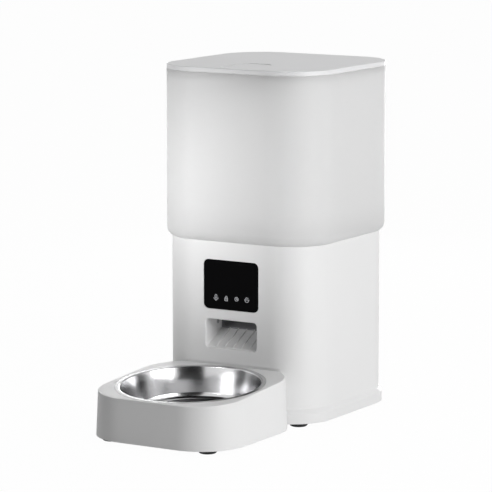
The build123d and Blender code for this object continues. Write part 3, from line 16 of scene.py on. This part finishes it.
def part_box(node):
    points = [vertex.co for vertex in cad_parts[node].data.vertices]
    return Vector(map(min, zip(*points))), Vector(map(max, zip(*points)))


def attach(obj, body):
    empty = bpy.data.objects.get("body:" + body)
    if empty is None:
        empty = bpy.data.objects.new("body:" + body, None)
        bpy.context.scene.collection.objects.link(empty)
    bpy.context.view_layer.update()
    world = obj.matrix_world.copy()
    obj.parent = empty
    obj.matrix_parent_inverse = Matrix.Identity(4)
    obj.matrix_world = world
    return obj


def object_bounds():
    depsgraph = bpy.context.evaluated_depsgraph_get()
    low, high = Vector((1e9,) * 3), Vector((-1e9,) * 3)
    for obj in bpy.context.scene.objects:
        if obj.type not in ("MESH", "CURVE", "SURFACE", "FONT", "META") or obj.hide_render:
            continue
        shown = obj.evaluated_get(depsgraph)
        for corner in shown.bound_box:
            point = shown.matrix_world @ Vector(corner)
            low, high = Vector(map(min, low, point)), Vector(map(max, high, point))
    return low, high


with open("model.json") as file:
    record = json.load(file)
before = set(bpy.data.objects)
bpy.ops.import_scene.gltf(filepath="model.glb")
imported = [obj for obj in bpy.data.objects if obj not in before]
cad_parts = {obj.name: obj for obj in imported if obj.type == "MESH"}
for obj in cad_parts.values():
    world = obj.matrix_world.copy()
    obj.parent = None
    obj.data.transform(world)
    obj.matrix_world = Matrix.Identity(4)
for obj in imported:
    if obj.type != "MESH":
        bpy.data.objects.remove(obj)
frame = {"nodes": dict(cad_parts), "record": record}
nodes = frame["nodes"]
solid_low, solid_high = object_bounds()
scene = bpy.context.scene
scene.view_settings.view_transform = "Standard"
MM = 0.001
print("nodes:", len(nodes), "box:", [round(v, 4) for v in solid_high - solid_low])

# %% [markdown]
# ## Camera
# The photograph was taken with a long lens from the front right, a little above the lid. A long lens keeps
# the upright edges nearly parallel, as they are there. The place could be found by trial, but here it is
# written as a point beside the tower and the aim as a turn round it and a tilt above the floor, which are easy to
# read.

# %% Place the camera
IMAGE_WIDTH = 492.0
FOCAL_PIXELS = 2947.5
SENSOR = 36.0
CAMERA_TURN = radians(30.99)
CAMERA_TILT = radians(8.735)
CAMERA_PLACE = Vector((1.47566, -2.51620, 0.61132))
tank_low, tank_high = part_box("hopper_tank")
tower = Vector((0, (tank_low.y + tank_high.y) / 2, 0))
camera_data = bpy.data.cameras.new("camera")
camera_data.sensor_width = SENSOR
camera_data.lens = FOCAL_PIXELS * SENSOR / IMAGE_WIDTH
camera_data.clip_start = 0.1
camera_data.clip_end = 50.0
camera = bpy.data.objects.new("camera", camera_data)
camera.location = CAMERA_PLACE + tower
camera.rotation_euler = (pi / 2 - CAMERA_TILT, 0, CAMERA_TURN)
scene.collection.objects.link(camera)
scene.camera = camera
print("lens:", round(camera_data.lens, 1), "mm at", [round(v, 3) for v in camera.location])


# %% [markdown]
# ## Colours and nodes
# Colours are written as the hex values a paint program shows. Blender's shaders work in linear light, so one
# function converts them. A second function adds a shader node, sets its values and links its inputs, which
# keeps each material short enough to read in one go.

# %% Helpers for materials
def colour(code):
    """Linear colour from an sRGB hex code."""
    channels = [int(code[i:i + 2], 16) / 255 for i in (1, 3, 5)]
    linear = [c / 12.92 if c <= 0.04045 else ((c + 0.055) / 1.055) ** 2.4 for c in channels]
    return (*linear, 1.0)


def add(tree, kind, inputs=None, **settings):
    """New node with its settings, and each input set to a value or linked to another node's output."""
    node = tree.nodes.new("ShaderNode" + kind)
    for name, value in settings.items():
        setattr(node, name, value)
    for name, value in (inputs or {}).items():
        if isinstance(value, bpy.types.NodeSocket):
            tree.links.new(value, node.inputs[name])
        else:
            node.inputs[name].default_value = value
    return node


def blank(name):
    """Empty node material with its output, and the Object coordinates that patterns read."""
    material = bpy.data.materials.new(name)
    material.use_nodes = True
    material.node_tree.nodes.clear()
    tree = material.node_tree
    output = add(tree, "OutputMaterial")
    place = add(tree, "TexCoord").outputs["Object"]
    return material, tree, output, place


def per_metre(size):
    """Pattern scale for a feature of that size in millimetres."""
    return 1000.0 / size


# %% [markdown]
# ## Studio
# The background of the photograph is plain white. Lighting a floor until it clips would flood the object too,
# so the floor and the world are white only to rays from the camera, to reflections and through clear walls, which
# then show the same white room. To all other rays they are a dim grey studio. The floor still takes a little of
# its shade from the lamps, so the object keeps its shadow.

# %% Floor and world
FLOOR_HALF = 6.0
FLOOR_GAP = 0.1 * MM
ROOM_LIGHT = 0.17
PAPER_WHITE = 0.98


def seen_directly(tree):
    """Output that is 1 for rays from the camera, for reflections and through clear walls, otherwise 0."""
    rays = add(tree, "LightPath").outputs
    either = add(tree, "Math", {0: rays["Is Camera Ray"], 1: rays["Is Glossy Ray"]}, operation="MAXIMUM")
    either = add(tree, "Math", {0: either.outputs[0], 1: rays["Is Transmission Ray"]}, operation="MAXIMUM")
    return either.outputs[0]


floor_mesh = bpy.data.meshes.new("floor")
floor_shape = bmesh.new()
bmesh.ops.create_grid(floor_shape, x_segments=1, y_segments=1, size=FLOOR_HALF)
bmesh.ops.translate(floor_shape, verts=floor_shape.verts, vec=(0, 0, -FLOOR_GAP))
floor_shape.to_mesh(floor_mesh)
floor_shape.free()
floor = bpy.data.objects.new("floor", floor_mesh)
scene.collection.objects.link(floor)
floor_paper, tree, output, _ = blank("seamless_paper")
paper = add(tree, "BsdfDiffuse", {"Color": colour("#e6e6e6")})
glow = add(tree, "Emission", {"Color": (1, 1, 1, 1), "Strength": 1.0})
seen = add(tree, "Math", {0: seen_directly(tree), 1: PAPER_WHITE}, operation="MULTIPLY")
mixed = add(tree, "MixShader", {"Fac": seen.outputs[0], 1: paper.outputs[0], 2: glow.outputs[0]})
tree.links.new(mixed.outputs[0], output.inputs["Surface"])
floor_mesh.materials.append(floor_paper)

world = bpy.data.worlds.new("studio")
scene.world = world
world.use_nodes = True
tree = world.node_tree
tree.nodes.clear()
white = add(tree, "Background", {"Color": (1, 1, 1, 1), "Strength": 1.0})
room = add(tree, "Background", {"Color": (1, 1, 1, 1), "Strength": ROOM_LIGHT})
mixed = add(tree, "MixShader", {"Fac": seen_directly(tree), 1: room.outputs[0], 2: white.outputs[0]})
add(tree, "OutputWorld", {"Surface": mixed.outputs[0]})
print("floor and world ready")

# %% [markdown]
# ## Lamps and flags
# The photograph's bright side is the right one, so the main soft box stands there, close enough that its light
# fades towards the back. One above lights the lid and the tray, and a weak one behind shines through the milky
# tank. The front is darker, and brightest at its upper left, so a small box with a grid, which keeps its light in
# a narrow beam, stands there. The steel shows black wedges and a black floor: a photographer gets them with black
# cards, called flags, that keep the white room off the bowl. Two stand round it and one hangs above. They are
# hidden from the camera and cast no shadow.

# %% Lamps
MIDDLE = tuple((solid_low + solid_high) / 2)
# Each row is a name, a place, a target, a size in metres, a spread in degrees and a power in watts
LAMPS = [
    ("right_soft_box", (1.29, -0.32, 0.50), MIDDLE, (0.9, 0.9), 180, 13.0),
    ("front_grid_box", (-0.22, -0.62, 0.24), (-0.085, -0.02, 0.235), (0.1, 0.1), 36, 0.145),
    ("back_soft_box", (-0.45, 1.25, 0.20), (0.0, 0.16, 0.26), (0.9, 0.3), 100, 3.0),
    ("top_soft_box", (0.0, 0.3, 2.2), MIDDLE, (1.2, 1.2), 180, 13.0),
]


def turn_to(piece, place, target):
    """Puts a lamp or card at a place, turned towards a target."""
    piece.location = place
    piece.rotation_euler = (Vector(target) - Vector(place)).to_track_quat("-Z", "Y").to_euler()
    scene.collection.objects.link(piece)


for name, place, target, size, spread, power in LAMPS:
    lamp_data = bpy.data.lights.new(name, "AREA")
    lamp_data.shape = "RECTANGLE"
    lamp_data.size, lamp_data.size_y = size
    lamp_data.spread = radians(spread)
    lamp_data.energy = power
    turn_to(bpy.data.objects.new(name, lamp_data), place, target)
print("lamps:", len(LAMPS))

# %% Flags
bowl_low, bowl_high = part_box("steel_bowl")
bowl_middle = (bowl_low + bowl_high) / 2
# Each row is a name, a turn round the bowl in degrees, a distance, and a width and height in metres
FLAGS = [
    ("camera_flag", -59, 1.7, (1.4, 2.6)),
    ("left_flag", -153, 1.7, (0.3, 2.6)),
]
CEILING_HEIGHT = 1.6
CEILING_WIDTH = 2.1
flag_cloth, tree, output, _ = blank("black_flag_cloth")
shader = add(tree, "BsdfDiffuse", {"Color": colour("#060606")})
tree.links.new(shader.outputs[0], output.inputs["Surface"])


def hang_card(name, place, target, width, height):
    """Black card at a place, turned towards a target, seen only in reflections and by soft light."""
    card_mesh = bpy.data.meshes.new(name)
    card_shape = bmesh.new()
    bmesh.ops.create_grid(card_shape, x_segments=1, y_segments=1, size=0.5)
    bmesh.ops.scale(card_shape, verts=card_shape.verts, vec=(width, height, 1))
    card_shape.to_mesh(card_mesh)
    card_shape.free()
    card_mesh.materials.append(flag_cloth)
    card = bpy.data.objects.new(name, card_mesh)
    turn_to(card, place, target)
    card.visible_camera = False
    card.visible_shadow = False
    return card


for name, turn, distance, (width, height) in FLAGS:
    foot = bowl_middle + distance * Vector((cos(radians(turn)), sin(radians(turn)), 0))
    hang_card(name, (foot.x, foot.y, height / 2), (bowl_middle.x, bowl_middle.y, height / 2), width, height)
above = bowl_middle + Vector((0, 0, CEILING_HEIGHT))
ceiling = hang_card("ceiling_flag", above, bowl_middle, CEILING_WIDTH, CEILING_WIDTH)
ceiling.visible_diffuse = False
print("flags:", len(FLAGS) + 1)


# %% [markdown]
# ## Moulded plastic
# Nearly everything on the feeder is injection moulded ABS. The mould is spark eroded, so the surface is a very
# fine grit that spreads highlights, and the plastic cools unevenly, which shows as broad faint changes of
# gloss. Grit of a tenth of a millimetre is finer than a pixel here, so it is drawn at about half a millimetre.

# %% Moulded plastic finish
CLOUD_SIZE = 60.0
CLOUD_GLOSS = 0.05
GRIT_STRENGTH = 0.25


def moulded_plastic(name, code, roughness=0.42, grit=0.5, depth=0.012, tone=0.03):
    """Injection moulded plastic: fine grit in the bump, broad faint changes of shade and gloss."""
    material, tree, output, place = blank(name)
    grain = add(tree, "TexNoise", {"Vector": place, "Scale": per_metre(grit), "Detail": 2.0})
    cloud = add(tree, "TexNoise", {"Vector": place, "Scale": per_metre(CLOUD_SIZE), "Detail": 1.0})
    gloss = add(tree, "MapRange", {0: cloud.outputs[0], 3: roughness - CLOUD_GLOSS, 4: roughness + CLOUD_GLOSS})
    base = colour(code)
    dark = (*[c * (1 - tone) for c in base[:3]], 1.0)
    shade = add(tree, "Mix", {0: cloud.outputs[0], 6: dark, 7: base}, data_type="RGBA")
    bump = add(tree, "Bump", {"Height": grain.outputs[0], "Strength": GRIT_STRENGTH, "Distance": depth * MM})
    shader = add(tree, "BsdfPrincipled", {
        "Base Color": shade.outputs[2], "Roughness": gloss.outputs[0], "Normal": bump.outputs[0], "IOR": 1.53,
    })
    tree.links.new(shader.outputs[0], output.inputs["Surface"])
    return material, shader


white_abs, _ = moulded_plastic("white_moulded_abs", "#e9e9e9", 0.45)
lid_abs, _ = moulded_plastic("white_lid_abs", "#e4e4e5", 0.40)
grey_abs, _ = moulded_plastic("grey_moulded_abs", "#a3a4a6", 0.45)
# The chute's darker grey is painted shade for the dark inside of the outlet.
chute_shade_paint, _ = moulded_plastic("painted_shade_chute_plastic", "#7c7c7f", 0.45)
black_abs, _ = moulded_plastic("black_moulded_nylon", "#1b1b1c", 0.5)
nylon, _ = moulded_plastic("natural_acetal", "#e6e0cf", 0.35)
ribbon_film, _ = moulded_plastic("white_ribbon_film", "#d9d9d6", 0.35, grit=1.0)
red_wire, _ = moulded_plastic("red_wire_jacket", "#a51c14", 0.4)
black_wire, _ = moulded_plastic("black_wire_jacket", "#161616", 0.4)
print("plastics ready")

# %% [markdown]
# ## Frosted tank
# The food tank is milky ABS with a fine matt mould finish. Light goes into the wall, scatters and comes out
# on both sides, so the shade over it changes softly and what hangs under the lid shows as a faint dark patch. A
# plain white would look like the base, and clear plastic would show the paddle wheel. So half of the wall's
# answer is translucent, which passes light on without a picture, and the other half is plastic with a little
# rough transmission.

# %% Frosted tank finish
MILKINESS = 0.5
frosted_tank, shader = moulded_plastic("frosted_milky_abs", "#f0f0f0", 0.5, depth=0.02, tone=0.01)
shader.inputs["Transmission Weight"].default_value = 0.15
tree = frosted_tank.node_tree
milk = add(tree, "BsdfTranslucent", {"Color": colour("#fdfdfd")})
wall = add(tree, "MixShader", {"Fac": MILKINESS, 1: shader.outputs[0], 2: milk.outputs[0]})
tree.links.new(wall.outputs[0], tree.get_output_node("CYCLES").inputs["Surface"])
silicone, shader = moulded_plastic("clear_silicone", "#dcdcda", 0.5)
shader.inputs["Transmission Weight"].default_value = 0.3
print("tank ready")

# %% [markdown]
# ## Rubber and gloss black
# The feet are dark rubber with a dry, open surface. The touch panel is a sheet of black acrylic: its own surface
# is nearly a mirror, but an anti-glare coat keeps it dark in the white room. A trace of waviness keeps it from
# looking computed.

# %% Rubber, panel and dark gloss
black_rubber, _ = moulded_plastic("black_foot_rubber", "#18181a", 0.8, grit=0.8, depth=0.05)
panel_gloss, shader = moulded_plastic("black_panel_acrylic", "#030304", 0.12, grit=9.0, depth=0.002)
shader.inputs["Specular IOR Level"].default_value = 0.03
digit_gloss, _ = moulded_plastic("dark_digit_lens", "#101013", 0.15, grit=6.0, depth=0.002)
print("dark finishes ready")

# %% [markdown]
# ## Spun and drawn steel
# The bowl is stainless steel, pressed and then polished while it spins, so its fine scratches run in rings. Rings
# could be drawn as a picture, but a noise that reads only the distance from the bowl's middle makes them at any
# size. They stretch the highlights into the bright and dark wedges that the photograph shows.

# %% Bowl steel
RING_PITCH = 1.2
SCRATCH_DEPTH = 0.02 * MM
bowl_steel, tree, output, place = blank("polished_stainless_steel")
flat = add(tree, "Mapping", {"Vector": place, "Location": (-bowl_middle.x, -bowl_middle.y, 0), "Scale": (1, 1, 0)})
reach = add(tree, "VectorMath", {0: flat.outputs[0]}, operation="LENGTH")
rings = add(tree, "TexNoise", {"W": reach.outputs["Value"], "Scale": per_metre(RING_PITCH), "Detail": 3.0},
            noise_dimensions="1D")
bump = add(tree, "Bump", {"Height": rings.outputs[0], "Strength": 0.12, "Distance": SCRATCH_DEPTH})
gloss = add(tree, "MapRange", {0: rings.outputs[0], 3: 0.10, 4: 0.20})
turning = add(tree, "Tangent", direction_type="RADIAL", axis="Z")
shader = add(tree, "BsdfPrincipled", {
    "Base Color": colour("#d2d2d3"), "Metallic": 1.0, "Roughness": gloss.outputs[0],
    "Anisotropic": 0.75, "Normal": bump.outputs[0], "Tangent": turning.outputs[0],
})
tree.links.new(shader.outputs[0], output.inputs["Surface"])
print("bowl steel ready, rings every", RING_PITCH, "mm")


# %% Other metals
MARK_GLOSS = 0.07


def worked_metal(name, code, roughness, stretch, mark=0.6):
    """Drawn, rolled or stamped metal: marks drawn out along the directions where stretch is small."""
    material, tree, output, place = blank(name)
    drawn = add(tree, "Mapping", {"Vector": place, "Scale": stretch})
    marks = add(tree, "TexNoise", {"Vector": drawn.outputs[0], "Scale": per_metre(mark), "Detail": 2.0})
    gloss = add(tree, "MapRange", {0: marks.outputs[0], 3: roughness - MARK_GLOSS, 4: roughness + MARK_GLOSS})
    bump = add(tree, "Bump", {"Height": marks.outputs[0], "Strength": 0.15, "Distance": SCRATCH_DEPTH})
    shader = add(tree, "BsdfPrincipled", {
        "Base Color": colour(code), "Metallic": 1.0, "Roughness": gloss.outputs[0], "Normal": bump.outputs[0],
    })
    tree.links.new(shader.outputs[0], output.inputs["Surface"])
    return material


plain_steel = worked_metal("zinc_plated_steel", "#b9babc", 0.32, (1.0, 1.0, 0.15))
spring_brass = worked_metal("stamped_phosphor_bronze", "#c79a52", 0.3, (1.0, 1.0, 0.2))
ferrite = worked_metal("ground_ferrite", "#3a3a3d", 0.6, (1.0, 1.0, 1.0))
speaker_steel = worked_metal("black_speaker_frame", "#2a2a2c", 0.5, (1.0, 1.0, 1.0))
winding = worked_metal("enamelled_copper_winding", "#b4653a", 0.35, (1.0, 1.0, 0.05), mark=0.4)
print("metals ready")

# %% [markdown]
# ## Circuit boards
# A circuit board is glass cloth under green lacquer. The copper tracks under the lacquer read as slightly lighter
# lines in a square net, so the pattern is built from a brick texture of the real track spacing.

# %% Board lacquer
TRACK_PITCH = 2.5
board_lacquer, tree, output, place = blank("green_board_lacquer")
turned = add(tree, "Mapping", {"Vector": place, "Rotation": (radians(90), 0, radians(90))})
tracks = add(tree, "TexBrick", {
    "Vector": turned.outputs[0], "Scale": per_metre(TRACK_PITCH) / 2, "Mortar Size": 0.06,
    "Color1": colour("#0f5a34"), "Color2": colour("#115f38"), "Mortar": colour("#2b8a58"),
})
shader = add(tree, "BsdfPrincipled", {"Base Color": tracks.outputs["Color"], "Roughness": 0.3, "IOR": 1.5})
tree.links.new(shader.outputs[0], output.inputs["Surface"])
print("board ready")

# %% [markdown]
# ## Giving each piece its finish
# The record that comes with the solid model names a finish for every piece. One table turns those names into the
# materials above, so that no piece is forgotten. The chute behind the outlet is the one exception: it gets a
# darker grey than the other plastics, which is painted shade for the dark inside of the outlet.

# %% Finishes by slot
FINISHES = {
    "white_abs": white_abs, "frosted_shell": frosted_tank, "lid_white": lid_abs, "black_gloss": panel_gloss,
    "grey_plastic": grey_abs, "natural_nylon": nylon, "polished_stainless": bowl_steel, "steel": plain_steel,
    "spring_brass": spring_brass, "black_rubber": black_rubber, "clear_silicone": silicone,
    "board_green": board_lacquer, "component_black": black_abs, "digit_module": digit_gloss,
    "ferrite": ferrite, "copper_winding": winding, "lead_red": red_wire, "lead_black": black_wire,
    "ribbon_white": ribbon_film, "speaker_frame": speaker_steel,
}
for subpart in frame["record"]["subparts"]:
    mesh = nodes[subpart["node"]].data
    mesh.materials.clear()
    mesh.materials.append(FINISHES[subpart["material_slot"]])
# The chute takes the darker grey, which is painted shade.
nodes["drop_chute"].data.materials[0] = chute_shade_paint

# %% [markdown]
# ## Signs on the touch panel
# The panel carries four small printed signs in a row: a microphone, a padlock, a clock and a bowl. Each is drawn
# from straight bars and bent strips in the plane of the panel, then drawn out to a film of ink. Thickening every
# face along its own normal could tear the corners where bars cross, so the whole drawing moves forward at once.

# %% Sign drawing
INK = 0.04 * MM
LINE = 0.65 * MM
MERGE = 0.001 * MM
panel_low, panel_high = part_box("display_lens")
panel_face = panel_low.y
sign_white, _ = moulded_plastic("white_screen_ink", "#b9bbbf", 0.5, grit=0.4, tone=0.06)


def bar(shape, x, z, width, height):
    """Upright rectangle in the panel's plane, by its middle and size."""
    place = Matrix.Translation((x, 0, z)) @ Matrix.Rotation(pi / 2, 4, "X")
    size = Matrix.Diagonal((width / 2, height / 2, 1, 1))
    bmesh.ops.create_grid(shape, x_segments=1, y_segments=1, size=1.0, matrix=place @ size)


def strip(shape, x, z, inner, outer, start, sweep, steps=24):
    """Bent strip round a middle point, from the angle start through the angle sweep, in degrees."""
    low = shape.verts.new((x + inner * cos(radians(start)), 0, z + inner * sin(radians(start))))
    high = shape.verts.new((x + outer * cos(radians(start)), 0, z + outer * sin(radians(start))))
    edge = shape.edges.new((low, high))
    bmesh.ops.spin(shape, geom=[low, high, edge], cent=(x, 0, z), axis=(0, -1, 0), angle=radians(sweep),
                   steps=steps, use_merge=abs(sweep) == 360)


def finish_sign(name, shape, x, z):
    """Merges the drawing, gives it the film's thickness and sets it on the panel."""
    bmesh.ops.remove_doubles(shape, verts=shape.verts, dist=MERGE)
    film = bmesh.ops.extrude_face_region(shape, geom=shape.faces[:])["geom"]
    front = [item for item in film if isinstance(item, bmesh.types.BMVert)]
    bmesh.ops.translate(shape, verts=front, vec=(0, -INK, 0))
    bmesh.ops.recalc_face_normals(shape, faces=shape.faces)
    bmesh.ops.translate(shape, verts=shape.verts, vec=(x, panel_face, z))
    mesh = bpy.data.meshes.new(name)
    shape.to_mesh(mesh)
    shape.free()
    mesh.materials.append(sign_white)
    piece = bpy.data.objects.new(name, mesh)
    scene.collection.objects.link(piece)
    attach(piece, "base")


# %% Draw the four signs
SIGN_LEVEL = 122.6 * MM
SIGN_PITCH = 11.75 * MM
SIGN_START = -17.1 * MM
CAPSULE = 1.3 * MM
YOKE = 2.0 * MM
LOCK = 1.8 * MM
SHACKLE = 1.25 * MM
CLOCK = 2.2 * MM
DISH = 2.4 * MM

microphone = bmesh.new()
for rise, start in ((1.7, 0), (-0.1, 180)):
    strip(microphone, 0, rise * MM, CAPSULE - LINE, CAPSULE, start, 180)
for side in (-1, 1):
    bar(microphone, side * (CAPSULE - LINE / 2), 0.8 * MM, LINE, 1.8 * MM)
strip(microphone, 0, -0.1 * MM, YOKE, YOKE + LINE, 180, 180)
bar(microphone, 0, -3.2 * MM, LINE, 0.9 * MM)
finish_sign("microphone_sign", microphone, SIGN_START, SIGN_LEVEL)

padlock = bmesh.new()
for rise in (-2.5, 0.1):
    bar(padlock, 0, rise * MM, 2 * LOCK, LINE)
for side in (-1, 1):
    bar(padlock, side * (LOCK - LINE / 2), -1.2 * MM, LINE, 2.6 * MM - LINE)
    bar(padlock, side * (SHACKLE - LINE / 2), 0.75 * MM, LINE, 1.3 * MM - LINE)
bar(padlock, 0, -1.2 * MM, LINE, 0.9 * MM)
strip(padlock, 0, 1.08 * MM, SHACKLE - LINE, SHACKLE, 0, 180)
finish_sign("padlock_sign", padlock, SIGN_START + SIGN_PITCH, SIGN_LEVEL)

clock = bmesh.new()
strip(clock, 0, 0, CLOCK - LINE, CLOCK, 0, 360, steps=40)
bar(clock, 0, 0.6 * MM, LINE, 1.2 * MM)
bar(clock, 0.7 * MM, -LINE / 2, 1.4 * MM, LINE)
finish_sign("clock_sign", clock, SIGN_START + 2 * SIGN_PITCH, SIGN_LEVEL)

bowl_sign = bmesh.new()
strip(bowl_sign, 0, 0, DISH - LINE, DISH, 180, 180)
bar(bowl_sign, 0, LINE / 2, 5.6 * MM, LINE)
for x in (-1.2, 0, 1.2):
    strip(bowl_sign, x * MM, (1.9 if x else 2.4) * MM, 0, 0.5 * MM, 0, 360, steps=16)
finish_sign("bowl_sign", bowl_sign, SIGN_START + 3 * SIGN_PITCH, SIGN_LEVEL)
print("signs drawn on the panel at", round(panel_face, 4))
